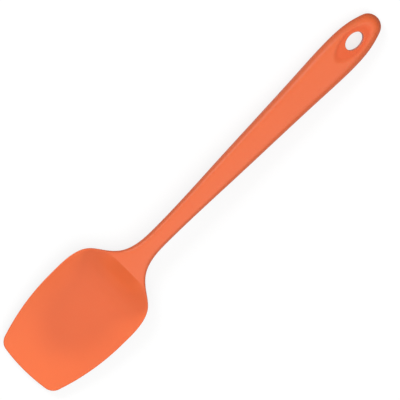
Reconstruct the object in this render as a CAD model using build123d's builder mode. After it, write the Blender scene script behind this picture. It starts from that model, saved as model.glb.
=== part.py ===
from build123d import *
import math
import os

# Silicone spatula with a spoon-shaped blade, lying face up, in millimetres.
# The blade tip points along -X, the handle end along +X, and Z points up.
# Every place along the spatula is counted from the blade tip.

# Overall: the blade ends at the ridge across its root, and the rest is neck and handle
length = 290.0
blade_length = 84.0

# Plan view of the blade: half widths, and their places as shares of the way from bowl to ridge
tip_radius = 109.0
corner_radius = 7.5
side_radius = 139.0
bowl_place = 50.5
bowl_half_width = 29.4
heel_share = 0.497
heel_half_width = 28.7
shoulder_share = 0.787
shoulder_half_width = 25.1
ridge_bow = 1.1
ridge_half_width = 16.7

# Plan view of the flare and the neck, each a step behind the last
flare_step = 6.9
flare_half_width = 9.75
throat_step = 8.2
throat_half_width = 6.6
neck_step = 13.0
neck_half_width = 5.6

# Plan view of the handle: two places as shares of the way from neck to belly, two from the end
shank_share = 0.365
shank_half_width = 7.4
grip_share = 0.838
grip_half_width = 10.3
belly_from_end = 31.0
belly_half_width = 11.2
taper_from_end = 14.3
taper_half_width = 9.75
nose_radius = 7.45
nose_turn = 15.0

# Side view: heights along the middle of each surface.
# A station of 0 is the tip, 1 is the ridge and 2 is the handle end, with even shares between them.
top_shares = (0, 0.833, 1, 1.049, 1.136, 1.272, 1.515, 1.757, 1.864, 1.927, 2)
top_heights = (13.2, 13.0, 13.3, 14.2, 15.2, 15.3, 14.2, 12.6, 11.2, 9.8, 8.4)
under_shares = (0, 0.107, 0.25, 0.393, 0.595, 0.726, 0.821, 0.893, 1, 1.049, 1.107, 1.165, 1.272,
                1.515, 1.733, 1.864, 1.927, 2)
under_heights = (4.4, 3.4, 2.1, 0.9, 0.0, 0.2, 0.9, 1.8, 3.8, 5.4, 6.4, 6.7, 6.0, 2.8, 0.4, 0.0, 0.0, 0.5)
dish_shares = (0, 0.107, 0.25, 0.4, 0.6, 0.73, 0.82, 0.89, 0.945, 1, 1.029)
dish_heights = (5.6, 4.8, 4.1, 3.5, 3.0, 3.5, 5.1, 7.6, 10.4, 13.5, 18.0)

# Side view: height of the rim, and how far the top and the underside bend towards the outline
rim_heights = (6.3, 6.9, 7.7, 8.6, 9.9, 10.7, 11.1, 11.5, 11.9, 12.7, 15.0)
bowl_shares = (0, 0.107, 0.25, 0.4, 0.6, 0.73, 0.82, 0.89, 0.945, 1, 1.049, 1.107, 2)
bowl_rises = (0.6, 2.0, 4.1, 6.2, 8.4, 9.1, 8.9, 8.0, 6.6, 5.0, 2.2, 1.0, 0.8)
under_roll_shares = (0, 0.833, 0.929, 1, 1.049, 1.107, 1.32, 1.85, 1.951, 2)
under_rolls = (0.0, 0.0, 0.3, 0.8, 2.0, 2.9, 3.1, 3.6, 3.0, 2.9)
top_roll_shares = (0, 0.905, 1, 1.029, 1.068, 1.107, 1.32, 1.85, 1.951, 2)
top_rolls = (0.0, 0.0, 0.3, 1.3, 2.6, 3.2, 3.4, 4.0, 3.4, 3.2)
crown_share = 0.03
roll_power = 7
dish_power = 2.3

# Hanging hole and the shallow recess round it
hole_from_end = 19.4
hole_half_length = 6.3
hole_half_width = 3.93
recess_from_end = 20.4
recess_half_length = 12.2
recess_half_width = 6.1
recess_depth = 1.0
recess_tilt = 6.0
recess_draft = 50.0

# Nylon core inside the handle, with holes that the silicone keys into
skin_wall = 2.0
hole_lining = 1.5
key_radius = 2.0
key_shares = (1.515, 1.636, 1.757)

# Steel spine, from the root of the blade into the core, halfway between top and underside
spine_shares = (0.845, 0.929, 1.039, 1.117, 1.223, 1.408)
spine_thickness = 1.5
spine_half_width = 1.9
spade_half_width = 7.0
spade_length = 20.0
spade_round = 3.5
spade_hole_step = 10.0
spade_hole_radius = 2.0

# Room that cutting shapes have beyond the part
overrun = 4.0
edge_room = 0.5
cut_height = 30.0
stock_below = 1.0
stock_height = 22.0
surface_tolerance = 0.05

# Fineness of the formula surfaces
blade_stations = 10
front_stations = 20
back_stations = 14
tail_stations = 8
nose_stations = 7
half_columns = 8

half_length = length / 2
handle_length = length - blade_length
ridge_place = blade_length - ridge_bow
heel_place = bowl_place + heel_share * (ridge_place - bowl_place)
shoulder_place = bowl_place + shoulder_share * (ridge_place - bowl_place)
flare_place = ridge_place + flare_step
throat_place = flare_place + throat_step
neck_place = throat_place + neck_step
belly_place = length - belly_from_end
shank_place = neck_place + shank_share * (belly_place - neck_place)
grip_place = neck_place + grip_share * (belly_place - neck_place)
taper_place = length - taper_from_end
nose_centre = length - nose_radius
hole_place = length - hole_from_end
recess_place = length - recess_from_end


def place_at(station):
    """Place of a station: 0 at the tip, 1 at the ridge and 2 at the handle end."""
    return min(station, 1) * blade_length + max(station - 1, 0) * handle_length


def line_of(shares, values):
    """Pairs of (place, value) for a table of stations and a table of values."""
    return [(place_at(share), value) for share, value in zip(shares, values)]


def spot(place, across):
    """Plan point at a place counted from the blade tip."""
    return (place - half_length, across)


def blade_half_width(place):
    """Half width along the arc that forms the side of the blade."""
    ahead = bowl_place - place
    return bowl_half_width - side_radius + math.sqrt(side_radius ** 2 - ahead ** 2)


def value_at(place, line):
    """Smooth value at a place, along a line of (place, value) pairs, with no overshoot."""
    places = [pair[0] for pair in line]
    values = [pair[1] for pair in line]
    spans = [b - a for a, b in zip(places, places[1:])]
    slopes = [(b - a) / span for a, b, span in zip(values, values[1:], spans)]
    tangents = [slopes[0]]
    for before, after in zip(slopes, slopes[1:]):
        level = before * after <= 0
        tangents.append(0 if level else 2 * before * after / (before + after))
    tangents.append(slopes[-1])
    if place <= places[0]:
        return values[0] + tangents[0] * (place - places[0])
    if place >= places[-1]:
        return values[-1] + tangents[-1] * (place - places[-1])
    index = max(i for i in range(len(spans)) if place >= places[i])
    share = (place - places[index]) / spans[index]
    rise = share * share * (3 - 2 * share)
    leave = share * (1 - share) ** 2 * tangents[index]
    arrive = share * share * (share - 1) * tangents[index + 1]
    step = values[index + 1] - values[index]
    return values[index] + rise * step + spans[index] * (leave + arrive)


top_line = line_of(top_shares, top_heights)
under_line = line_of(under_shares, under_heights)
dish_line = line_of(dish_shares, dish_heights)
rim_line = line_of(dish_shares, rim_heights)
under_bowl = line_of(bowl_shares, bowl_rises)
under_roll = line_of(under_roll_shares, under_rolls)
top_roll = line_of(top_roll_shares, top_rolls)


def outline_share(place, across, half_width):
    """How far a point is from the middle line, as a share of the way to the outline."""
    if place <= nose_centre:
        return abs(across) / half_width
    return math.hypot(place - nose_centre, across) / nose_radius


def top_height(place, share, half_width):
    """Height of the top of the flare, the neck and the handle."""
    crown = crown_share * half_width * share ** 2
    return value_at(place, top_line) - crown - value_at(place, top_roll) * share ** roll_power


def under_height(place, share, half_width):
    """Height of the underside, from the bowl to the end of the handle."""
    bowl = value_at(place, under_bowl) * share ** 2
    return value_at(place, under_line) + bowl + value_at(place, under_roll) * share ** roll_power


def dish_height(place, share, half_width):
    """Height of the hollow face of the blade, up to its rim."""
    middle = value_at(place, dish_line)
    return middle + (value_at(place, rim_line) - middle) * share ** dish_power


# Corner where the round tip edge and the side of the blade cross: two circles, by their centres
side_centre = (bowl_place, bowl_half_width - side_radius)
between = math.hypot(side_centre[0] - tip_radius, side_centre[1])
along = (between ** 2 + tip_radius ** 2 - side_radius ** 2) / (2 * between)
off = math.sqrt(tip_radius ** 2 - along ** 2)
toward = ((side_centre[0] - tip_radius) / between, side_centre[1] / between)
corner_place = tip_radius + along * toward[0] + off * toward[1]
corner_half_width = along * toward[1] - off * toward[0]

# Half of the plan outline from the widest place of the blade to the handle end
turn = math.radians(nose_turn)
nose_start = (nose_centre + nose_radius * math.sin(turn), nose_radius * math.cos(turn))
front = Spline(
    spot(bowl_place, bowl_half_width),
    spot(heel_place, heel_half_width),
    spot(shoulder_place, shoulder_half_width),
    spot(ridge_place, ridge_half_width),
    spot(flare_place, flare_half_width),
    spot(throat_place, throat_half_width),
    spot(neck_place, neck_half_width),
    tangents=((1, 0), (1, 0)),
)
back = Spline(
    spot(neck_place, neck_half_width),
    spot(shank_place, shank_half_width),
    spot(grip_place, grip_half_width),
    spot(belly_place, belly_half_width),
    tangents=((1, 0), (1, 0)),
)
tail = Spline(
    spot(belly_place, belly_half_width),
    spot(taper_place, taper_half_width),
    spot(*nose_start),
    tangents=((1, 0), (math.cos(turn), -math.sin(turn))),
)

# Stations (place, half width) of the formula surfaces, along the same outline
blade_start = -overrun
blade_step = (bowl_place - blade_start) / blade_stations
stations = [(blade_start + i * blade_step, blade_half_width(blade_start + i * blade_step))
            for i in range(blade_stations)]
for curve, count in ((front, front_stations), (back, back_stations), (tail, tail_stations)):
    for i in range(count):
        point = curve @ (i / count)
        stations.append((point.X + half_length, point.Y))
nose_step = (nose_radius + edge_room) / (nose_stations - 1)
stations += [(nose_centre + i * nose_step, nose_radius) for i in range(nose_stations)]
column_shares = [math.sin(math.radians(90 * i / half_columns))
                 for i in range(-half_columns, half_columns + 1)]


def formula_surface(height, last_place, room):
    """Surface through the heights of a formula, a little wider than the outline."""
    rows = []
    for place, half_width in stations:
        if place < last_place:
            row = []
            for share in column_shares:
                across = share * (half_width + room)
                reach = outline_share(place, across, half_width)
                row.append((place - half_length, across, height(place, reach, half_width)))
            rows.append(row)
    return Face.make_surface_from_array_of_points(rows, tol=surface_tolerance, max_deg=3)


# Cutting shapes over the top and the dish, and under the underside
dish_end_place = place_at(dish_shares[-1])
top_waste = Solid.extrude(formula_surface(top_height, length + overrun, edge_room),
                          Vector(0, 0, cut_height))
dish_waste = Solid.extrude(formula_surface(dish_height, dish_end_place, overrun),
                           Vector(0, 0, cut_height))
under_face = formula_surface(under_height, length + overrun, edge_room)
under_waste = Solid.extrude(Pos(0, 0, -cut_height) * under_face, Vector(0, 0, cut_height))

# Recess round the hanging hole, with a flat floor along the slope of the handle top
recess_floor = value_at(recess_place, top_line) - recess_depth
tilt = math.radians(recess_tilt)
recess_plane = Plane(
    origin=(recess_place - half_length, 0, recess_floor),
    x_dir=(math.cos(tilt), 0, -math.sin(tilt)),
    z_dir=(math.sin(tilt), 0, math.cos(tilt)),
)

# Line of the spine, halfway between the underside and the lower of the dish and the top
spine_line = []
for spine_place in [place_at(share) for share in spine_shares]:
    roof_height = value_at(spine_place, top_line)
    if spine_place < blade_length:
        roof_height = min(roof_height, value_at(spine_place, dish_line))
    spine_line.append((spine_place, (roof_height + value_at(spine_place, under_line)) / 2))
spine_start = spine_line[0][0]
spine_end = spine_line[-1][0]

# Steel spine, a stamped strip with a spade end in the root of the blade
with BuildPart() as steel_spine:
    with BuildSketch(Plane.XZ) as spine_side:
        with BuildLine() as spine_edges:
            upper = Spline([(x - half_length, z + spine_thickness / 2) for x, z in spine_line])
            lower = Spline([(x - half_length, z - spine_thickness / 2) for x, z in spine_line])
            Line(upper @ 0, lower @ 0)
            Line(upper @ 1, lower @ 1)
        make_face()
    extrude(amount=spade_half_width, both=True)
    with BuildSketch(Plane.XY) as spine_plan:
        with Locations((spine_start + spade_length / 2 - half_length, 0)):
            RectangleRounded(spade_length, 2 * spade_half_width, spade_round)
        with Locations(((spine_start + spine_end) / 2 - half_length + spade_round, 0)):
            Rectangle(spine_end - spine_start, 2 * spine_half_width)
        with Locations((spine_start + spade_hole_step - half_length, 0)):
            Circle(spade_hole_radius, mode=Mode.SUBTRACT)
    extrude(amount=cut_height, mode=Mode.INTERSECT)
steel_spine.part.label = "steel_spine"

# Nylon core, one skin wall inside the handle, cast round the steel spine
with BuildPart() as nylon_core:
    core_end = length - skin_wall
    with BuildSketch(Plane.XZ) as core_side:
        with BuildLine() as core_edges:
            core_line = [x for x, height in top_line if throat_place < x < core_end]
            core_line = [throat_place] + core_line + [core_end]
            roof = Spline([(x - half_length, value_at(x, top_line) - skin_wall) for x in core_line])
            floor = Spline([(x - half_length, value_at(x, under_line) + skin_wall) for x in core_line])
            Line(roof @ 0, floor @ 0)
            Line(roof @ 1, floor @ 1)
        make_face()
    extrude(amount=bowl_half_width, both=True)
    with BuildSketch(Plane.XY) as core_plan:
        with BuildLine() as core_outline:
            core_back = Spline(
                spot(throat_place, throat_half_width - skin_wall),
                spot(neck_place, neck_half_width - skin_wall),
                spot(shank_place, shank_half_width - skin_wall),
                spot(grip_place, grip_half_width - skin_wall),
                spot(belly_place, belly_half_width - skin_wall),
                spot(taper_place, taper_half_width - skin_wall),
                spot(nose_centre, nose_radius - skin_wall),
            )
            ThreePointArc(core_back @ 1, spot(core_end, 0), spot(nose_centre, skin_wall - nose_radius))
            mirror(core_back, about=Plane.XZ)
            Line(core_back @ 0, spot(throat_place, skin_wall - throat_half_width))
        make_face()
        with Locations((hole_place - half_length, 0)):
            Ellipse(hole_half_length + hole_lining, hole_half_width + hole_lining, mode=Mode.SUBTRACT)
        with Locations([(place_at(share) - half_length, 0) for share in key_shares]):
            Circle(key_radius, mode=Mode.SUBTRACT)
    extrude(amount=cut_height, mode=Mode.INTERSECT)
    add(steel_spine.part, mode=Mode.SUBTRACT)
nylon_core.part.label = "nylon_core"

# Silicone skin: the blade, the neck and the outside of the handle in one seamless piece
with BuildPart() as silicone_skin:
    with BuildSketch(Plane.XY.offset(-stock_below)) as outline:
        with BuildLine() as outline_edges:
            add(front)
            add(back)
            add(tail)
            side_middle = (corner_place + bowl_place) / 2
            ThreePointArc(
                spot(corner_place, corner_half_width),
                spot(side_middle, blade_half_width(side_middle)),
                spot(bowl_place, bowl_half_width),
            )
            mirror(about=Plane.XZ)
            ThreePointArc(tail @ 1, spot(length, 0), spot(nose_start[0], -nose_start[1]))
            ThreePointArc(
                spot(corner_place, corner_half_width),
                spot(0, 0),
                spot(corner_place, -corner_half_width),
            )
        make_face()
        fillet(outline.vertices().group_by(Axis.X)[0], corner_radius)
    extrude(amount=stock_height)
    add(under_waste, mode=Mode.SUBTRACT)
    add(top_waste, mode=Mode.SUBTRACT)
    add(dish_waste, mode=Mode.SUBTRACT)
    with BuildSketch(recess_plane):
        Ellipse(recess_half_length, recess_half_width)
    extrude(amount=overrun, taper=-recess_draft, mode=Mode.SUBTRACT)
    with BuildSketch(Plane.XY.offset(-overrun)) as hole:
        with Locations((hole_place - half_length, 0)):
            Ellipse(hole_half_length, hole_half_width)
    extrude(amount=cut_height, mode=Mode.SUBTRACT)
    add(nylon_core.part, mode=Mode.SUBTRACT)
    add(steel_spine.part, mode=Mode.SUBTRACT)
silicone_skin.part.label = "silicone_skin"

os.makedirs("parts", exist_ok=True)
export_step(silicone_skin.part, "parts/silicone_skin.step")
export_step(nylon_core.part, "parts/nylon_core.step")
export_step(steel_spine.part, "parts/steel_spine.step")
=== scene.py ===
"""Looks of a silicone spatula: its seamless silicone skin, the core and spine inside it, and the stage."""
import math

import bmesh
import bpy
import numpy as np
from bpy.props import FloatProperty, FloatVectorProperty, IntProperty, PointerProperty
from mathutils import Matrix, Vector


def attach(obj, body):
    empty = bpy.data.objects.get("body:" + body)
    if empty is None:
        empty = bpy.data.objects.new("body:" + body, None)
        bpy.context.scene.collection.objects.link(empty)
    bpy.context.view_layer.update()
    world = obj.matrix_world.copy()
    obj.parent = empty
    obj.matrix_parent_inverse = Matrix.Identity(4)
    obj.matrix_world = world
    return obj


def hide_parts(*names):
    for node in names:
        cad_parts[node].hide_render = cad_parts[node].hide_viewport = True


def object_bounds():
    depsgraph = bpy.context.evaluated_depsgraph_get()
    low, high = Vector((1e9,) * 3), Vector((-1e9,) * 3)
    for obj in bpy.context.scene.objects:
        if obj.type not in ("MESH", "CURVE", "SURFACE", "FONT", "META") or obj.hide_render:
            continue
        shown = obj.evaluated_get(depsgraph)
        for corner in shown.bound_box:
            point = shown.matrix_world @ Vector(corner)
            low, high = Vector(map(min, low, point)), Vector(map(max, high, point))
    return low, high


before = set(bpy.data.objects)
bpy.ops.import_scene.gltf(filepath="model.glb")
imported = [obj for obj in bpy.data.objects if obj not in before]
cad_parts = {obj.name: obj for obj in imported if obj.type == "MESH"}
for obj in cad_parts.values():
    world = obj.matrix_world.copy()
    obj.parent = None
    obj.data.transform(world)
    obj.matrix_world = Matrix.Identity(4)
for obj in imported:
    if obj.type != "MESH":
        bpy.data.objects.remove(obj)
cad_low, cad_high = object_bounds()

bl_info = {
    "name": "Silicone spatula",
    "version": (1, 0, 0),
    "blender": (4, 5, 0),
    "location": "View3D > Sidebar > Spatula",
    "description": "Builds the silicone skin, the finishes of the core and the spine, and a pale studio",
    "category": "Object",
}

MM = 0.001

# Plan outline, in millimetres: place from the blade tip and half width
LENGTH = 290.0
TIP_RADIUS = 109.0
CORNER_RADIUS = 7.5
SIDE_RADIUS = 139.0
BOWL = (50.5, 29.4)
FRONT_POINTS = (BOWL, (66.6, 28.7), (76.0, 25.1), (82.9, 16.7), (89.8, 9.75), (98.0, 6.6), (111.0, 5.6))
BACK_POINTS = (FRONT_POINTS[-1], (165.0, 7.4), (235.0, 10.3), (259.0, 11.2))
TAPER_POINT = (275.7, 9.87)
NOSE_RADIUS = 7.7
NOSE_TURN = 20.0
NOSE_CENTRE = LENGTH - NOSE_RADIUS

# Side view, in millimetres: place from the blade tip and height along the middle
TOP_LINE = ((0, 13.2), (70, 13.0), (84, 13.3), (94, 14.2), (112, 15.2), (140, 15.3),
            (190, 14.2), (240, 12.6), (262, 11.2), (275, 9.8), (282, 9.0), (286.5, 8.3), (290, 7.6))
UNDER_LINE = ((0, 4.4), (9, 3.4), (21, 2.1), (33, 0.9), (50, 0.0), (61, 0.2), (69, 0.9), (75, 1.8),
              (84, 3.8), (94, 5.4), (106, 6.4), (118, 6.7), (140, 6.0), (190, 2.8), (235, 0.4), (262, 0.0),
              (275, 0.0), (290, 0.5))
DISH_LINE = ((0, 5.6), (9, 4.8), (21, 4.1), (33.6, 3.5), (50.4, 3.0), (61.3, 3.5), (68.9, 5.1), (74.8, 7.6),
             (79.4, 10.4), (84, 13.5), (90, 18))

# Rim height, and how far each surface bends towards the outline
RIM_LINE = ((0, 6.3), (9, 6.9), (21, 7.7), (33.6, 8.6), (50.4, 9.9), (61.3, 10.7), (68.9, 11.1),
            (74.8, 11.5), (79.4, 11.9), (84, 12.7), (90, 15))
UNDER_BOWL = ((0, 0.6), (9, 2.0), (21, 4.1), (33.6, 6.2), (50.4, 8.4), (61.3, 9.1), (68.9, 8.9),
              (74.8, 8.0), (79.4, 6.6), (84, 5.0), (94, 2.2), (106, 1.0), (290, 0.8))
UNDER_ROLL = ((0, 0), (70, 0), (78, 0.3), (84, 0.8), (94, 2.0), (106, 2.9), (150, 3.1), (259, 3.6),
              (280, 3.0), (290, 2.9))
TOP_ROLL = ((0, 0), (76, 0), (84, 0.3), (90, 1.3), (98, 2.6), (106, 3.2), (150, 3.4), (259, 4.0),
            (280, 3.4), (290, 3.2))
CROWN = 0.03
ROLL_POWER = 7
TOP_POWER = ((0, 7), (255, 7), (275, 5.5), (290, 4.5))
DISH_POWER = 2.3

# Hanging hole and recess, in millimetres. The recess's wall is a share of the way in to the middle
HOLE_PLACE = 270.6
HOLE_HALF = (6.45, 4.15)
RECESS_PLACE = 269.2
RECESS_HALF = (15.8, 7.4)
RECESS_WALL = 0.27
RECESS_POWER = 1.8

# How far in from the outline each edge starts to round over
EDGE_LINE = ((0, 0.6), (60, 0.65), (76, 0.8), (84, 1.0), (94, 0.9), (110, 0.7), (259, 0.6), (290, 0.6))

# Points on each stretch of half the outline: tip, corner, side, front, back, taper and nose
RUN_COUNTS = (400, 200, 800, 1600, 2400, 600, 300)

# Layout of the skin: rows crowd at the ridge and the tip and bend near the tip. Rings go round the hole
RIDGE_PLACE = 83.0
RIDGE_REACH = 5.0
RIDGE_CROWD = 3.2
TIP_REACH = 6.0
TIP_CROWD = 0.6
TIP_BEND = 30.0
RING_START = 247.0
RING_COUNT = 42
RING_EASE = 0.6
NOSE_COUNT = 100
WELD_REACH = 1e-7

# Silicone: thickness in millimetres where each colour is reached, the deepest that is read, and the tints
# The colours by thickness are painted light: the thin rim is brighter as a painted glow of light through
# it, and the blade floor is darker as painted bowl shade
RIM_THICKNESS = 1.2
BLADE_THICKNESS = 2.5
HEEL_THICKNESS = 3.8
HANDLE_THICKNESS = 6.4
DEEPEST = 8.0
LINING_THICKNESS = 6.0
# Painted shade that darkens the recess floor
RECESS_SHADE_TINT = (0.96, 0.82, 0.79)
DRIFT_TINT = (0.80, 0.72, 0.70)

# Stage, in metres
KEY_PLACE = (0.06, 1.08, 0.82)
KEY_SIZE = 0.7
FILL_PLACE = (-0.17, -0.70, 1.24)
FILL_SIZE = 2.0
CAMERA_AIM = (-0.0029, -0.0023, 0.0045)
FLOOR_REACH = 3.0
FLOOR_GAP = 0.0001


class SkinSizes(bpy.types.PropertyGroup):
    recess_depth: FloatProperty(name="Recess depth", description="Depth of the oval recess round the hole",
                                default=0.0008, unit="LENGTH")
    hole_rounding: FloatProperty(name="Hole rounding", description="Radius at both mouths of the hole",
                                 default=0.0006, unit="LENGTH")
    ridge_rounding: FloatProperty(name="Ridge rounding", description="How softly the dish meets the flare",
                                  default=0.0003, unit="LENGTH")
    rows: IntProperty(name="Rows", description="Rows of points along the spatula", default=300, min=60)
    columns: IntProperty(name="Columns", description="Points across the spatula", default=61, min=21)


class Finishes(bpy.types.PropertyGroup):
    handle_colour: FloatVectorProperty(name="Thick silicone", description="Colour of the neck and handle",
                                       subtype="COLOR", default=(0.74, 0.131, 0.034))
    # Painted bowl shade: the blade floor is a darker copy of the handle's silicone
    blade_shade_colour: FloatVectorProperty(name="Blade silicone", description="Colour of the floor of the blade",
                                      subtype="COLOR", default=(0.685, 0.119, 0.0325))
    # Painted glow: the thin rim is a brighter copy of the handle's silicone, standing in for light shining
    # through it
    rim_glow_colour: FloatVectorProperty(name="Thin silicone", description="Colour of the rim, lit through",
                                    subtype="COLOR", default=(0.82, 0.148, 0.038))
    nylon_colour: FloatVectorProperty(name="Nylon", description="Colour of the glass-filled nylon",
                                      subtype="COLOR", default=(0.70, 0.67, 0.58))
    steel_colour: FloatVectorProperty(name="Steel", description="Colour of the stainless strip",
                                      subtype="COLOR", default=(0.56, 0.56, 0.57))


class StageSettings(bpy.types.PropertyGroup):
    floor_colour: FloatVectorProperty(name="Floor", description="Colour of the pale floor",
                                      subtype="COLOR", default=(0.20, 0.20, 0.20))
    floor_glow: FloatProperty(name="Floor glow", description="Light of the floor itself",
                              default=0.788)
    sky_strength: FloatProperty(name="Sky strength", description="Light of the sky overhead", default=0.42)
    key_power: FloatProperty(name="Key power", description="Power of the low light on the left",
                             default=10.7, unit="POWER")
    fill_power: FloatProperty(name="Fill power", description="Power of the broad light on the right",
                              default=20.8, unit="POWER")
    camera_lean: FloatProperty(name="Camera lean", description="How far the camera leans to the left",
                               default=math.radians(6.0), subtype="ANGLE")
    view_width: FloatProperty(name="View width", description="What the camera sees across",
                              default=0.2324, unit="LENGTH")
    camera_distance: FloatProperty(name="Camera distance", description="From the camera to the spatula",
                                   default=2.0, unit="LENGTH")


def smooth_value(place, line):
    """Monotone cubic through (place, value) pairs: slopes are harmonic means, so it never overshoots."""
    places, values = np.array(line, float).T
    spans = np.diff(places)
    slopes = np.diff(values) / spans
    product = slopes[:-1] * slopes[1:]
    total = np.where(product > 0, slopes[:-1] + slopes[1:], 1.0)
    inner = np.where(product > 0, 2 * product / total, 0.0)
    tangents = np.concatenate(([slopes[0]], inner, [slopes[-1]]))
    index = np.clip(np.searchsorted(places, place, side="right") - 1, 0, len(spans) - 1)
    share = (place - places[index]) / spans[index]
    inside = np.clip(share, 0, 1)
    step = values[index + 1] - values[index]
    leave = inside * (1 - inside) ** 2 * tangents[index]
    arrive = inside ** 2 * (inside - 1) * tangents[index + 1]
    curve = values[index] + inside ** 2 * (3 - 2 * inside) * step + spans[index] * (leave + arrive)
    beyond = np.where(share < 0, tangents[0], tangents[-1]) * (share - inside) * spans[index]
    return curve + beyond


def soft_min(first, second, radius):
    """The lower of two heights, rounded where they cross within the radius."""
    mix = np.clip(0.5 + 0.5 * (second - first) / radius, 0, 1)
    return second + (first - second) * mix - radius * mix * (1 - mix)


def spline_through(points, first_tangent, last_tangent, count):
    """Cubic spline through points, timed by the chords, with given unit tangents at both ends."""
    points = np.array(points, float)
    times = np.concatenate(([0], np.cumsum(np.hypot(*np.diff(points, axis=0).T))))
    spans = np.diff(times)
    size = len(points)
    matrix = np.zeros((size, size))
    right = np.zeros((size, 2))
    matrix[0, 0] = matrix[-1, -1] = 1
    right[0], right[-1] = first_tangent, last_tangent
    middle = np.arange(1, size - 1)
    before, after = spans[:-1, None], spans[1:, None]
    matrix[middle, middle - 1] = spans[1:]
    matrix[middle, middle] = 2 * (spans[:-1] + spans[1:])
    matrix[middle, middle + 1] = spans[:-1]
    steps = np.diff(points, axis=0)
    right[1:-1] = 3 * (after * steps[:-1] / before + before * steps[1:] / after)
    tangents = np.linalg.solve(matrix, right)
    when = np.linspace(0, times[-1], count)
    index = np.clip(np.searchsorted(times, when, side="right") - 1, 0, size - 2)
    span = spans[index][:, None]
    share = ((when - times[index]) / spans[index])[:, None]
    return ((1 + 2 * share) * (1 - share) ** 2 * points[index]
            + share ** 2 * (3 - 2 * share) * points[index + 1]
            + span * share * (1 - share) ** 2 * tangents[index]
            + span * share ** 2 * (share - 1) * tangents[index + 1])


def arc_points(centre, radius, first, last, count):
    """Points on a circle round centre, from one angle to another, in radians."""
    angles = np.linspace(first, last, count)
    return np.stack((centre[0] + radius * np.cos(angles), centre[1] + radius * np.sin(angles)), axis=1)


def circles_meet(first, first_radius, second, second_radius):
    """The upper of the two points where two circles cross."""
    gap = np.subtract(second, first)
    between = np.hypot(*gap)
    along = (between ** 2 + first_radius ** 2 - second_radius ** 2) / (2 * between)
    off = math.sqrt(first_radius ** 2 - along ** 2)
    toward = gap / between
    aside = off * np.array((-toward[1], toward[0]))
    hits = [np.array(first) + along * toward + sign * aside for sign in (1, -1)]
    return max(hits, key=lambda hit: hit[1])


def half_outline():
    """Half of the plan outline from the middle of the tip to the end of the handle, as dense points.

    A tip arc, a corner arc, a side arc, three splines and the nose arc follow on each other."""
    tip_centre = (TIP_RADIUS, 0.0)
    side_centre = (BOWL[0], BOWL[1] - SIDE_RADIUS)
    corner = circles_meet(tip_centre, TIP_RADIUS - CORNER_RADIUS, side_centre, SIDE_RADIUS - CORNER_RADIUS)
    from_tip = math.atan2(corner[1] - tip_centre[1], corner[0] - tip_centre[0])
    from_side = math.atan2(corner[1] - side_centre[1], corner[0] - side_centre[0])
    turn = math.radians(NOSE_TURN)
    nose_start = (NOSE_CENTRE + NOSE_RADIUS * math.sin(turn), NOSE_RADIUS * math.cos(turn))
    nose_way = (math.cos(turn), -math.sin(turn))
    taper_points = (BACK_POINTS[-1], TAPER_POINT, nose_start)
    tip_count, corner_count, side_count, front_count, back_count, taper_count, nose_count = RUN_COUNTS
    runs = (
        arc_points(tip_centre, TIP_RADIUS, math.pi, from_tip, tip_count),
        arc_points(corner, CORNER_RADIUS, from_tip, from_side, corner_count),
        arc_points(side_centre, SIDE_RADIUS, from_side, math.pi / 2, side_count),
        spline_through(FRONT_POINTS, (1, 0), (1, 0), front_count),
        spline_through(BACK_POINTS, (1, 0), (1, 0), back_count),
        spline_through(taper_points, (1, 0), nose_way, taper_count),
        arc_points((NOSE_CENTRE, 0.0), NOSE_RADIUS, math.pi / 2 - turn, 0.0, nose_count),
    )
    middle_of_corner = len(runs[0]) + len(runs[1]) // 2
    points = np.concatenate([runs[0]] + [run[1:] for run in runs[1:]])
    return points, middle_of_corner - 1


OUTLINE, CORNER_INDEX = half_outline()
OUTLINE_RUN = np.concatenate(([0], np.cumsum(np.hypot(*np.diff(OUTLINE, axis=0).T))))


def half_width(place):
    """Half width at a place. Ahead of the widest place it follows the side arc past the round corner."""
    ahead = BOWL[0] - place
    blade = BOWL[1] - SIDE_RADIUS + np.sqrt(SIDE_RADIUS ** 2 - np.clip(ahead, 0, None) ** 2)
    behind = OUTLINE[:, 0] >= BOWL[0]
    rest = np.interp(place, OUTLINE[behind, 0], OUTLINE[behind, 1])
    return np.where(place < BOWL[0], blade, rest)


def outline_share(place, across):
    """Distance from the middle line as a share of the way to the outline, round the nose too."""
    straight = np.abs(across) / half_width(np.minimum(place, NOSE_CENTRE))
    nose = np.hypot(place - NOSE_CENTRE, across) / NOSE_RADIUS
    return np.where(place <= NOSE_CENTRE, straight, nose)


def recess_share(place, across):
    """0 outside the recess and 1 on its floor, with an S-shaped wall between.

    The recess is an oval with slightly pointed ends: |along|^1.8 + |across|^1.8 = 1, each over its half."""
    along = np.abs(place - RECESS_PLACE) / RECESS_HALF[0]
    aside = np.abs(across) / RECESS_HALF[1]
    reach = (along ** RECESS_POWER + aside ** RECESS_POWER) ** (1 / RECESS_POWER)
    wall = np.clip((1 - reach) / RECESS_WALL, 0, 1)
    return wall ** 2 * (3 - 2 * wall)


def top_height(place, across, sizes):
    """Height of the upper face: the lower of the handle top and the dish, less the recess.

    Handle top = middle line - crown * half width * share^2 - roll * share^power, softer at the end.
    Dish = middle line + (rim - middle line) * share^2.3.
    The recess takes its depth off inside its oval."""
    share = outline_share(place, across)
    width = half_width(np.minimum(place, NOSE_CENTRE))
    handle = smooth_value(place, TOP_LINE) - CROWN * width * share ** 2
    handle = handle - smooth_value(place, TOP_ROLL) * share ** smooth_value(place, TOP_POWER)
    middle = smooth_value(place, DISH_LINE)
    dish = middle + (smooth_value(place, RIM_LINE) - middle) * share ** DISH_POWER
    height = soft_min(handle, dish, sizes.ridge_rounding / MM)
    return height - sizes.recess_depth / MM * recess_share(place, across)


def under_height(place, across):
    """Height of the underside = middle line + bowl * share^2 + roll * share^7."""
    share = outline_share(place, across)
    bowl = smooth_value(place, UNDER_BOWL) * share ** 2
    return smooth_value(place, UNDER_LINE) + bowl + smooth_value(place, UNDER_ROLL) * share ** ROLL_POWER


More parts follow.
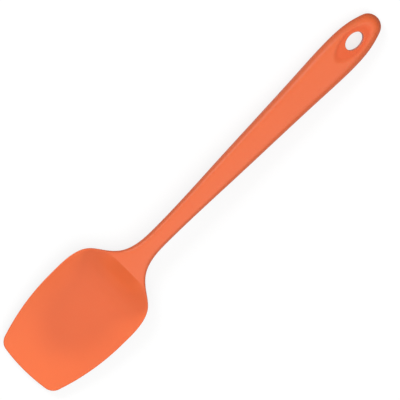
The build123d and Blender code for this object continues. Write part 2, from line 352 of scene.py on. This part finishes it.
def inset_outline(runs):
    """Outline points at given runs along it, moved in by the edge line, and their outward normals."""
    tangent = np.gradient(OUTLINE, OUTLINE_RUN, axis=0)
    normals = np.stack((-tangent[:, 1], tangent[:, 0]), axis=1)
    at = [np.stack([np.interp(runs, OUTLINE_RUN, column) for column in table.T], axis=1)
          for table in (OUTLINE, normals)]
    normal = at[1] / np.hypot(*at[1].T)[:, None]
    inset = smooth_value(at[0][:, 0], EDGE_LINE)[:, None]
    return at[0] - normal * inset, normal, inset[:, 0]


def mirrored(points):
    """The same points on the other side of the spatula."""
    return points * (1, -1)


def grid_faces(shape, start, closed=False, flip=False):
    """Quads of a grid of rows and columns, whose first vertex has the number start."""
    rows, columns = shape
    number = start + np.arange(rows * columns).reshape(rows, columns)
    if closed:
        number = np.concatenate((number, number[:, :1]), axis=1)
    corners = (number[:-1, :-1], number[1:, :-1], number[1:, 1:], number[:-1, 1:])
    quads = np.stack(corners, axis=-1).reshape(-1, 4)
    return quads[:, ::-1] if flip else quads


def plan_layout(sizes):
    """Plan points of the skin: rows along the spatula as far as the recess, and rings round the hole.

    Row = straight line between the two sides, bent near the tip to follow the tip edge.
    Ring = point on the hole's mouth * (1 - share) + point on the last row or the nose * share."""
    corner_run = OUTLINE_RUN[CORNER_INDEX]
    place = OUTLINE[:, 0]
    join_run = np.interp(RING_START, place, OUTLINE_RUN)
    ridge_crowd = RIDGE_CROWD * np.exp(-((place - RIDGE_PLACE) / RIDGE_REACH) ** 2)
    density = 1 + ridge_crowd + TIP_CROWD * np.exp(-(place / TIP_REACH) ** 2)
    weight = np.concatenate(([0], np.cumsum(np.diff(OUTLINE_RUN) * (density[1:] + density[:-1]) / 2)))
    limits = np.interp((corner_run, join_run), OUTLINE_RUN, weight)
    side_runs = np.interp(np.linspace(*limits, sizes.rows), weight, OUTLINE_RUN)
    side, side_normal, side_inset = inset_outline(side_runs)
    across = np.sin(np.linspace(-0.5, 0.5, sizes.columns) * math.pi)
    tip, tip_normal, tip_inset = inset_outline(np.abs(across) * corner_run)
    sign = np.where(across < 0, -1.0, 1.0)[:, None]
    tip = np.concatenate((tip[:, :1], tip[:, 1:] * sign), axis=1)
    tip_normal = np.concatenate((tip_normal[:, :1], tip_normal[:, 1:] * sign), axis=1)
    straight = np.broadcast_to(side[:, :1], (sizes.rows, sizes.columns))
    rows = np.stack((straight, side[:, 1:] * across), axis=-1)
    fade = 1 - np.clip((side[:, 0] - side[0, 0]) / TIP_BEND, 0, 1)
    fade = (fade ** 2 * (3 - 2 * fade))[:, None, None]
    rows = rows + fade * (tip - rows[0])
    nose_runs = np.linspace(join_run, OUTLINE_RUN[-1], NOSE_COUNT)
    nose, nose_normal, nose_inset = inset_outline(nose_runs)
    nose[-1, 1] = 0
    nose_normal[-1] = (1, 0)
    loop = np.concatenate((rows[-1], nose[1:], mirrored(nose[1:-1])[::-1]))
    mouth_half = np.array(HOLE_HALF) + sizes.hole_rounding / MM
    from_hole = (loop - (HOLE_PLACE, 0)) / mouth_half
    angle = np.arctan2(from_hole[:, 1], from_hole[:, 0])
    mouth = np.stack((np.cos(angle), np.sin(angle)), axis=1) * mouth_half + (HOLE_PLACE, 0)
    even = np.linspace(0, 1, RING_COUNT)
    eased = (1 - np.cos(even * math.pi)) / 2
    steps = (RING_EASE * eased + (1 - RING_EASE) * even)[:, None, None]
    rings = mouth * (1 - steps) + loop * steps
    rings[-1] = loop
    edge = np.concatenate((side, nose[1:], mirrored(nose[1:-1])[::-1], mirrored(side)[::-1], tip[1:-1]))
    normal = np.concatenate((side_normal, nose_normal[1:], mirrored(nose_normal[1:-1])[::-1],
                             mirrored(side_normal)[::-1], tip_normal[1:-1]))
    inset = np.concatenate((side_inset, nose_inset[1:], nose_inset[1:-1][::-1], side_inset[::-1],
                            tip_inset[1:-1]))
    rows[:, -1] = side
    rows[:, 0] = mirrored(side)
    return rows, rings, angle, edge, normal, inset


def lifted(plan, height):
    """Plan points with their heights, as three columns."""
    return np.concatenate((plan, height[..., None]), axis=-1)


def edge_strip(edge, normal, inset, sizes, steps=13):
    """Rounded outer edge: at each outline point a cubic curve from the top face round to the underside.

    It leaves the top along the top's slope and meets the underside along the underside's slope, and its
    handles are as long as it takes to reach the outline."""
    small = 0.05
    middle_weight = 3 / 8
    inner = edge - normal * small
    top, inner_top = (top_height(p[:, 0], p[:, 1], sizes) for p in (edge, inner))
    low, inner_low = (under_height(p[:, 0], p[:, 1]) for p in (edge, inner))
    top_way = np.stack((np.full(len(edge), small), top - inner_top), axis=1)
    low_way = np.stack((np.full(len(edge), small), low - inner_low), axis=1)
    top_way /= np.hypot(*top_way.T)[:, None]
    low_way /= np.hypot(*low_way.T)[:, None]
    handle = (inset / (middle_weight * (top_way[:, 0] + low_way[:, 0])))[:, None]
    first = np.stack((np.zeros(len(edge)), top), axis=1)
    last = np.stack((np.zeros(len(edge)), low), axis=1)
    share = np.linspace(0, 1, steps)[:, None, None]
    curve = (first * (1 - share) ** 3 + (first + handle * top_way) * 3 * share * (1 - share) ** 2
             + (last + handle * low_way) * 3 * share ** 2 * (1 - share) + last * share ** 3)
    return lifted(edge + normal * curve[..., :1], curve[..., 1])


def hole_lining(rings, angle, sizes, steps=9, wall_steps=6):
    """Wall of the hanging hole: a quarter round at each mouth and a straight wall between them."""
    rounding = sizes.hole_rounding / MM
    mouth = rings[0]
    top = top_height(mouth[:, 0], mouth[:, 1], sizes)
    low = under_height(mouth[:, 0], mouth[:, 1])
    turn = np.linspace(0, math.pi / 2, steps)[:, None]
    out = rounding * (1 - np.sin(turn))
    drop = rounding * (1 - np.cos(turn))
    place = HOLE_PLACE + (HOLE_HALF[0] + out) * np.cos(angle)
    across = (HOLE_HALF[1] + out) * np.sin(angle)
    upper = np.stack((place, across, top - drop), axis=-1)
    lower = np.stack((place, across, low + drop), axis=-1)[::-1]
    wall = np.linspace(0, 1, wall_steps)[1:-1, None, None]
    middle = upper[-1] * (1 - wall) + lower[0] * wall
    upper[0, :, :2] = mouth
    lower[-1, :, :2] = mouth
    return np.concatenate((upper, middle, lower))


def skin_mesh(sizes):
    """One closed mesh: top rows and rings, the same underneath, the rounded edge and the hole lining."""
    rows, rings, angle, edge, normal, inset = plan_layout(sizes)
    patches, thickness, parting, recess = [], [], [], []
    for plan, closed in ((rows, False), (rings, True)):
        top = top_height(plan[..., 0], plan[..., 1], sizes)
        low = under_height(plan[..., 0], plan[..., 1])
        patches += [(lifted(plan, top), closed, closed), (lifted(plan, low), closed, not closed)]
        thickness += [top - low, top - low]
        parting += [np.zeros(top.shape), np.zeros(top.shape)]
        recess += [recess_share(plan[..., 0], plan[..., 1]), np.zeros(top.shape)]
    strip = edge_strip(edge, normal, inset, sizes)
    gap = strip[0, :, 2] - strip[-1, :, 2]
    patches.append((strip, True, True))
    thickness.append(np.broadcast_to(gap, strip.shape[:2]))
    middle = 1 - np.abs(np.linspace(-1, 1, len(strip))) * 2
    parting.append(np.broadcast_to(np.clip(middle, 0, 1)[:, None], strip.shape[:2]))
    recess.append(np.zeros(strip.shape[:2]))
    lining = hole_lining(rings, angle, sizes)
    patches.append((lining, True, False))
    thickness.append(np.full(lining.shape[:2], LINING_THICKNESS))
    parting.append(np.zeros(lining.shape[:2]))
    recess.append(np.zeros(lining.shape[:2]))
    points, faces, start = [], [], 0
    for patch, closed, flip in patches:
        points.append(patch.reshape(-1, 3))
        faces.append(grid_faces(patch.shape[:2], start, closed, flip))
        start += patch.shape[0] * patch.shape[1]
    points = (np.concatenate(points) - (LENGTH / 2, 0, 0)) * MM
    mesh = bpy.data.meshes.new("silicone_skin_surface")
    mesh.from_pydata(points.tolist(), [], np.concatenate(faces).tolist())
    for name, values in (("thickness", thickness), ("parting", parting), ("recess", recess)):
        layer = mesh.attributes.new(name, "FLOAT", "POINT")
        layer.data.foreach_set("value", np.concatenate([v.ravel() for v in values]).astype(np.float32))
    shell = bmesh.new()
    shell.from_mesh(mesh)
    bmesh.ops.remove_doubles(shell, verts=shell.verts, dist=WELD_REACH)
    shell.to_mesh(mesh)
    shell.free()
    mesh.polygons.foreach_set("use_smooth", np.ones(len(mesh.polygons), bool))
    mesh.validate()
    mesh.update()
    return mesh


def node(tree, kind, place=(0, 0), **inputs):
    """A new shader node, with its input sockets set by name."""
    made = tree.nodes.new(kind)
    made.location = place
    for name, value in inputs.items():
        made.inputs[name.replace("_", " ")].default_value = value
    return made


def new_group(name, ins, outs):
    """An empty shader node group with named float or colour sockets."""
    tree = bpy.data.node_groups.new(name, "ShaderNodeTree")
    for label, kind, value in ins:
        socket = tree.interface.new_socket(label, in_out="INPUT", socket_type=kind)
        if value is not None:
            socket.default_value = value
    for label, kind in outs:
        tree.interface.new_socket(label, in_out="OUTPUT", socket_type=kind)
    return tree, tree.nodes.new("NodeGroupInput"), tree.nodes.new("NodeGroupOutput")


def math_node(tree, operation, *values):
    """A math node whose inputs are numbers or links from sockets."""
    made = tree.nodes.new("ShaderNodeMath")
    made.operation = operation
    for socket, value in zip(made.inputs, values):
        if isinstance(value, bpy.types.NodeSocket):
            tree.links.new(value, socket)
        else:
            socket.default_value = value
    return made


def range_node(tree, value, low, high, from_low=0.0, from_high=1.0):
    """A map from one range of values to another, fed by a socket."""
    made = tree.nodes.new("ShaderNodeMapRange")
    for name, limit in (("From Min", from_low), ("From Max", from_high), ("To Min", low), ("To Max", high)):
        made.inputs[name].default_value = limit
    tree.links.new(value, made.inputs["Value"])
    return made


def attribute_value(tree, name):
    """The value socket of one of the mesh's attributes."""
    made = tree.nodes.new("ShaderNodeAttribute")
    made.attribute_name = name
    return made.outputs["Fac"]


def tinted(tree, colour, tint, share):
    """A colour socket multiplied by a tint, as far as the share socket says."""
    made = tree.nodes.new("ShaderNodeMix")
    made.data_type = "RGBA"
    made.blend_type = "MULTIPLY"
    made.inputs["B"].default_value = (*tint, 1)
    tree.links.new(share, made.inputs["Factor"])
    tree.links.new(colour, made.inputs["A"])
    return made.outputs["Result"]


def streaks(tree, where, shrink, **settings):
    """Value socket of a noise that is drawn out along the spatula, by shrinking its coordinates along X."""
    stretch = node(tree, "ShaderNodeMapping", (-1000, 0), Scale=(shrink, 1, 1))
    noise = node(tree, "ShaderNodeTexNoise", (-800, 0), **settings)
    tree.links.new(where.outputs["Object"], stretch.inputs["Vector"])
    tree.links.new(stretch.outputs["Vector"], noise.inputs["Vector"])
    return noise.outputs["Fac"]


def moulded_grain_group():
    """Fine grain of a blasted mould: two noises added up as a height, and a slow cloud as a mask."""
    name = "moulded_grain"
    if name in bpy.data.node_groups:
        return bpy.data.node_groups[name]
    tree, inputs, outputs = new_group(
        name,
        (("Vector", "NodeSocketVector", None), ("Grain Scale", "NodeSocketFloat", 1400.0),
         ("Cloud Scale", "NodeSocketFloat", 28.0)),
        (("Height", "NodeSocketFloat"), ("Cloud", "NodeSocketFloat")),
    )
    fine = node(tree, "ShaderNodeTexNoise", (200, 200), Detail=2.0, Roughness=0.6)
    coarse = node(tree, "ShaderNodeTexNoise", (200, 0), Scale=190.0, Detail=1.0, Roughness=0.5)
    cloud = node(tree, "ShaderNodeTexNoise", (200, -200), Detail=2.0, Roughness=0.5)
    fine_share = 0.35
    total = math_node(tree, "MULTIPLY_ADD", fine.outputs["Fac"], fine_share, coarse.outputs["Fac"])
    link = tree.links.new
    for texture in (fine, coarse, cloud):
        link(inputs.outputs["Vector"], texture.inputs["Vector"])
    link(inputs.outputs["Grain Scale"], fine.inputs["Scale"])
    link(inputs.outputs["Cloud Scale"], cloud.inputs["Scale"])
    link(total.outputs[0], outputs.inputs["Height"])
    link(cloud.outputs["Fac"], outputs.inputs["Cloud"])
    return tree


def drift_group():
    """Slight drift of a colour: the colour is mixed with a darker copy by a mask."""
    name = "colour_drift"
    if name in bpy.data.node_groups:
        return bpy.data.node_groups[name]
    tree, inputs, outputs = new_group(
        name,
        (("Colour", "NodeSocketColor", None), ("Mask", "NodeSocketFloat", 0.5),
         ("Amount", "NodeSocketFloat", 0.1)),
        (("Colour", "NodeSocketColor"),),
    )
    share = math_node(tree, "MULTIPLY", inputs.outputs["Mask"], inputs.outputs["Amount"])
    drifted = tinted(tree, inputs.outputs["Colour"], DRIFT_TINT, share.outputs[0])
    tree.links.new(drifted, outputs.inputs["Colour"])
    return tree


def new_material(name):
    """An empty node material with its shader, output and texture coordinates."""
    material = bpy.data.materials.new(name)
    material.use_nodes = True
    tree = material.node_tree
    shader = tree.nodes["Principled BSDF"]
    where = node(tree, "ShaderNodeTexCoord", (-1200, 0))
    return material, tree, shader, where


def placed_group(tree, group, **inputs):
    """A node group placed in a material, with its inputs set by name."""
    made = tree.nodes.new("ShaderNodeGroup")
    made.node_tree = group
    for name, value in inputs.items():
        made.inputs[name.replace("_", " ")].default_value = value
    return made


def add_bump(tree, height, shader, strength, distance):
    """A bump from a height socket to the shader's normal, its distance in metres."""
    bump = node(tree, "ShaderNodeBump", (-200, -300), Strength=strength, Distance=distance)
    tree.links.new(height, bump.inputs["Height"])
    tree.links.new(bump.outputs["Normal"], shader.inputs["Normal"])


def silicone_material(finishes):
    """Satin silicone, coloured all through, with its mould's parting line round the edge.

    It is brighter where it is thin, as a painted glow of light through the silicone, darker on the blade
    floor as painted bowl shade, and darker in the recess as painted shade. It is also more matte where it
    is thin and in the recess."""
    material, tree, shader, where = new_material("silicone_satin")
    link = tree.links.new
    grain = placed_group(tree, moulded_grain_group(), Grain_Scale=1500.0, Cloud_Scale=22.0)
    link(where.outputs["Object"], grain.inputs["Vector"])
    depth = math_node(tree, "DIVIDE", attribute_value(tree, "thickness"), DEEPEST)
    # Colour by thickness is painted light: painted glow on the thin rim, painted bowl shade on the blade
    # floor, the plain silicone on the thick handle
    ramp = tree.nodes.new("ShaderNodeValToRGB")
    ramp.color_ramp.interpolation = "EASE"
    stops = ((RIM_THICKNESS, finishes.rim_glow_colour), (BLADE_THICKNESS, finishes.blade_shade_colour),
             (HEEL_THICKNESS, finishes.blade_shade_colour), (HANDLE_THICKNESS, finishes.handle_colour))
    while len(ramp.color_ramp.elements) < len(stops):
        ramp.color_ramp.elements.new(1.0)
    for stop, (thickness, colour) in zip(ramp.color_ramp.elements, stops):
        stop.position = thickness / DEEPEST
        stop.color = (*colour, 1)
    link(depth.outputs[0], ramp.inputs["Fac"])
    # The recess floor is darkened by painted shade
    hollow = attribute_value(tree, "recess")
    drift = placed_group(tree, drift_group(), Amount=0.10)
    link(tinted(tree, ramp.outputs["Color"], RECESS_SHADE_TINT, hollow), drift.inputs["Colour"])
    link(grain.outputs["Cloud"], drift.inputs["Mask"])
    link(drift.outputs["Colour"], shader.inputs["Base Color"])
    cloud_roughness = 0.08
    recess_roughness = 0.25
    cloud = grain.outputs["Cloud"]
    rough = range_node(tree, depth.outputs[0], low=0.60, high=0.42, from_low=0.45, from_high=0.8)
    cloudy = math_node(tree, "MULTIPLY_ADD", cloud, cloud_roughness, rough.outputs["Result"])
    matte = math_node(tree, "MULTIPLY_ADD", hollow, recess_roughness, cloudy.outputs[0])
    link(matte.outputs[0], shader.inputs["Roughness"])
    line_sharpness = 4.0
    line_height = 2.0
    line = math_node(tree, "POWER", attribute_value(tree, "parting"), line_sharpness)
    height = math_node(tree, "MULTIPLY_ADD", line.outputs[0], line_height, grain.outputs["Height"])
    add_bump(tree, height.outputs[0], shader, strength=0.25, distance=0.00006)
    shader.inputs["Subsurface Weight"].default_value = 0.12
    shader.inputs["Subsurface Radius"].default_value = (1.0, 0.35, 0.12)
    shader.inputs["Subsurface Scale"].default_value = 0.003
    shader.inputs["IOR"].default_value = 1.42
    shader.inputs["Specular IOR Level"].default_value = 0.55
    return material


def nylon_material(finishes):
    """Natural glass-filled nylon: a matte moulding with pale streaks of fibre."""
    material, tree, shader, where = new_material("glass_filled_nylon")
    link = tree.links.new
    grain = placed_group(tree, moulded_grain_group(), Grain_Scale=900.0, Cloud_Scale=60.0)
    link(where.outputs["Object"], grain.inputs["Vector"])
    fibre = streaks(tree, where, shrink=0.08, Scale=1600.0, Detail=3.0)
    drift = placed_group(tree, drift_group(), Amount=0.5)
    drift.inputs["Colour"].default_value = (*finishes.nylon_colour, 1)
    link(fibre, drift.inputs["Mask"])
    link(drift.outputs["Colour"], shader.inputs["Base Color"])
    rough = range_node(tree, grain.outputs["Cloud"], low=0.45, high=0.65)
    link(rough.outputs["Result"], shader.inputs["Roughness"])
    add_bump(tree, grain.outputs["Height"], shader, strength=0.4, distance=0.00008)
    return material


def steel_material(finishes):
    """Stamped stainless strip: brushed along its length, with a faint cloud of handling."""
    material, tree, shader, where = new_material("stamped_stainless")
    link = tree.links.new
    brush = streaks(tree, where, shrink=0.03, Scale=4000.0, Detail=2.0)
    drift = placed_group(tree, drift_group(), Amount=0.3)
    drift.inputs["Colour"].default_value = (*finishes.steel_colour, 1)
    link(brush, drift.inputs["Mask"])
    link(drift.outputs["Colour"], shader.inputs["Base Color"])
    rough = range_node(tree, brush, low=0.28, high=0.44)
    link(rough.outputs["Result"], shader.inputs["Roughness"])
    shader.inputs["Metallic"].default_value = 1.0
    add_bump(tree, brush, shader, strength=0.3, distance=0.00003)
    return material


def dress(name, material):
    """Gives a CAD piece its material in every slot."""
    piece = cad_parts[name]
    if not piece.data.materials:
        piece.data.materials.append(material)
    for index in range(len(piece.data.materials)):
        piece.data.materials[index] = material


class MakeSiliconeSkin(bpy.types.Operator):
    """Builds the seamless silicone skin from its height formulas and gives it its finish"""
    bl_idname = "spatula.make_silicone_skin"
    bl_label = "Silicone skin"

    def execute(self, context):
        scene = context.scene
        mesh = skin_mesh(scene.spatula_sizes)
        skin = bpy.data.objects.new("silicone_skin_surface", mesh)
        scene.collection.objects.link(skin)
        mesh.materials.append(silicone_material(scene.spatula_finishes))
        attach(skin, "root")
        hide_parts("silicone_skin")
        return {"FINISHED"}


class FinishNylonCore(bpy.types.Operator):
    """Gives the nylon core inside the handle its moulded finish"""
    bl_idname = "spatula.finish_nylon_core"
    bl_label = "Nylon core"

    def execute(self, context):
        dress("nylon_core", nylon_material(context.scene.spatula_finishes))
        return {"FINISHED"}


class FinishSteelSpine(bpy.types.Operator):
    """Gives the steel spine inside the neck its stamped and brushed finish"""
    bl_idname = "spatula.finish_steel_spine"
    bl_label = "Steel spine"

    def execute(self, context):
        dress("steel_spine", steel_material(context.scene.spatula_finishes))
        return {"FINISHED"}


def floor_material(settings):
    """Pale matte floor with a barely visible mottle."""
    material, tree, shader, where = new_material("pale_floor")
    mottle = node(tree, "ShaderNodeTexNoise", (-800, 0), Scale=3.0, Detail=2.0)
    drift = placed_group(tree, drift_group(), Amount=0.01)
    drift.inputs["Colour"].default_value = (*settings.floor_colour, 1)
    tree.links.new(where.outputs["Object"], mottle.inputs["Vector"])
    tree.links.new(mottle.outputs["Fac"], drift.inputs["Mask"])
    tree.links.new(drift.outputs["Colour"], shader.inputs["Base Color"])
    shader.inputs["Roughness"].default_value = 0.9
    shader.inputs["Specular IOR Level"].default_value = 0.1
    shader.inputs["Emission Color"].default_value = (1, 1, 1, 1)
    shader.inputs["Emission Strength"].default_value = settings.floor_glow
    return material


def studio_world(settings):
    """Light that is strongest overhead and fades towards the horizon. The camera sees plain white."""
    world = bpy.data.worlds.new("pale_studio")
    world.use_nodes = True
    tree = world.node_tree
    sky = tree.nodes["Background"]
    sky.inputs["Color"].default_value = (1, 1, 1, 1)
    way = tree.nodes.new("ShaderNodeTexCoord")
    parts = tree.nodes.new("ShaderNodeSeparateXYZ")
    tree.links.new(way.outputs["Generated"], parts.inputs["Vector"])
    height = parts.outputs["Z"]
    fade = range_node(tree, height, low=0.0, high=settings.sky_strength, from_low=0.1, from_high=0.7)
    path = tree.nodes.new("ShaderNodeLightPath")
    strength = math_node(tree, "MAXIMUM", fade.outputs["Result"], path.outputs["Is Camera Ray"])
    tree.links.new(strength.outputs[0], sky.inputs["Strength"])
    return world


def add_soft_light(name, place, size, power):
    """A square area light at a place, turned towards the middle of the spatula."""
    light = bpy.data.lights.new(name, "AREA")
    light.shape = "SQUARE"
    light.size = size
    light.energy = power
    lamp = bpy.data.objects.new(name, light)
    lamp.location = place
    lamp.rotation_euler = (-Vector(place)).to_track_quat("-Z", "Y").to_euler()
    bpy.context.scene.collection.objects.link(lamp)


def add_camera(settings):
    """Long lens almost straight above, with the handle running to the upper right of the frame."""
    lens = bpy.data.cameras.new("photo_camera")
    lens.sensor_width = 36.0
    lens.lens = lens.sensor_width * settings.camera_distance / settings.view_width
    lens.clip_end = 20.0
    camera = bpy.data.objects.new("photo_camera", lens)
    half = math.sqrt(0.5)
    axes = Matrix(((half, half, 0), (-half, half, 0), (0, 0, 1)))
    aim = Vector(CAMERA_AIM)
    turned = Matrix.Rotation(-settings.camera_lean, 4, "X") @ axes.to_4x4()
    back = turned.to_3x3() @ Vector((0, 0, settings.camera_distance))
    camera.matrix_world = Matrix.Translation(aim + back) @ turned
    bpy.context.scene.collection.objects.link(camera)
    bpy.context.scene.camera = camera


class SetStage(bpy.types.Operator):
    """Lays the pale floor and sets the soft lights and the camera"""
    bl_idname = "spatula.set_stage"
    bl_label = "Stage"

    def execute(self, context):
        scene = context.scene
        settings = scene.spatula_stage
        reach = FLOOR_REACH
        level = cad_low.z - FLOOR_GAP
        floor_mesh = bpy.data.meshes.new("floor")
        floor_mesh.from_pydata([(-reach, -reach, level), (reach, -reach, level), (reach, reach, level),
                                (-reach, reach, level)], [], [(0, 1, 2, 3)])
        floor_mesh.materials.append(floor_material(settings))
        floor = bpy.data.objects.new("floor", floor_mesh)
        scene.collection.objects.link(floor)
        floor.visible_diffuse = False
        scene.world = studio_world(settings)
        add_soft_light("key", KEY_PLACE, KEY_SIZE, settings.key_power)
        add_soft_light("fill", FILL_PLACE, FILL_SIZE, settings.fill_power)
        add_camera(settings)
        scene.view_settings.view_transform = "Standard"
        scene.view_settings.look = "None"
        return {"FINISHED"}


class SpatulaPanel(bpy.types.Panel):
    """Lists the steps that build the spatula"""
    bl_idname = "VIEW3D_PT_spatula"
    bl_label = "Silicone spatula"
    bl_space_type = "VIEW_3D"
    bl_region_type = "UI"
    bl_category = "Spatula"

    def draw(self, context):
        layout = self.layout
        for operator in OPERATORS:
            layout.operator(operator.bl_idname)
        scene = context.scene
        for group in (scene.spatula_sizes, scene.spatula_finishes, scene.spatula_stage):
            for name in group.__annotations__:
                layout.prop(group, name)


OPERATORS = (MakeSiliconeSkin, FinishNylonCore, FinishSteelSpine, SetStage)
CLASSES = (SkinSizes, Finishes, StageSettings) + OPERATORS + (SpatulaPanel,)


def register():
    for item in CLASSES:
        bpy.utils.register_class(item)
    bpy.types.Scene.spatula_sizes = PointerProperty(type=SkinSizes)
    bpy.types.Scene.spatula_finishes = PointerProperty(type=Finishes)
    bpy.types.Scene.spatula_stage = PointerProperty(type=StageSettings)


def unregister():
    del bpy.types.Scene.spatula_stage
    del bpy.types.Scene.spatula_finishes
    del bpy.types.Scene.spatula_sizes
    for item in reversed(CLASSES):
        bpy.utils.unregister_class(item)


def main():
    register()
    bpy.ops.spatula.make_silicone_skin()
    bpy.ops.spatula.finish_nylon_core()
    bpy.ops.spatula.finish_steel_spine()
    bpy.ops.spatula.set_stage()


if __name__ == "__main__":
    main()
